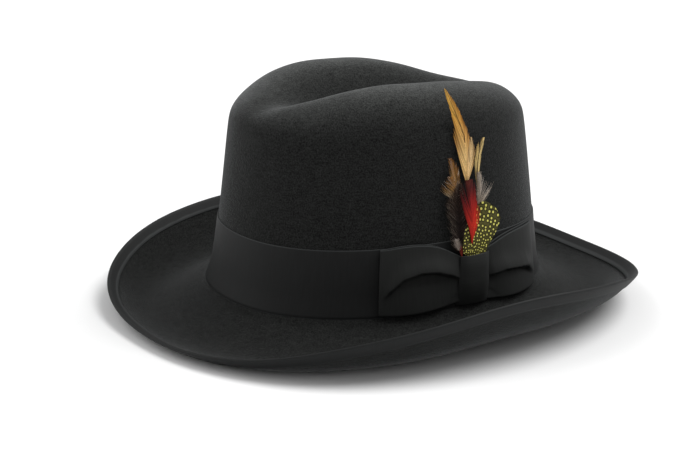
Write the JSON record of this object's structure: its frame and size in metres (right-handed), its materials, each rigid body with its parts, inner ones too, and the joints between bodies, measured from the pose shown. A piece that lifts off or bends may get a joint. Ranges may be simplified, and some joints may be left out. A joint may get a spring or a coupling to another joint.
{
  "type": "felt hat",
  "caption": "Stiff felt hat with a lengthwise crown crease, a curled ribbon-bound brim, a ribbon band, a flat bow and a feather spray.",
  "frame": {"origin": "middle of the hat's footprint, on the surface it rests on", "axes": "front of the hat to -Y, wearer's left (bow side) to +X, up +Z"},
  "size_m": [0.3092, 0.3288, 0.1494],
  "materials": {
    "black_felt": "matte brushed wool felt",
    "binding_ribbon": "woven grosgrain ribbon",
    "band_ribbon": "woven grosgrain ribbon",
    "gold_feather": "natural gold hackle",
    "cream_feather": "natural cream hackle",
    "brown_feather": "soft brown plume",
    "grey_down": "soft grey down",
    "red_feather": "dyed red feather",
    "spotted_feather": "dyed yellow-green spotted feather"
  },
  "bodies": {
    "root": {"felt_body": "black_felt", "brim_binding": "binding_ribbon", "hat_band": "band_ribbon", "bow_front_loop": "band_ribbon", "bow_rear_loop": "band_ribbon", "bow_knot": "band_ribbon", "hackle_long": "gold_feather", "hackle_cream": "cream_feather", "hackle_side": "gold_feather", "hackle_small": "gold_feather", "plume_brown": "brown_feather", "down_grey": "grey_down", "feather_red": "red_feather", "feather_spotted": "spotted_feather"}
  },
  "joints": []
}
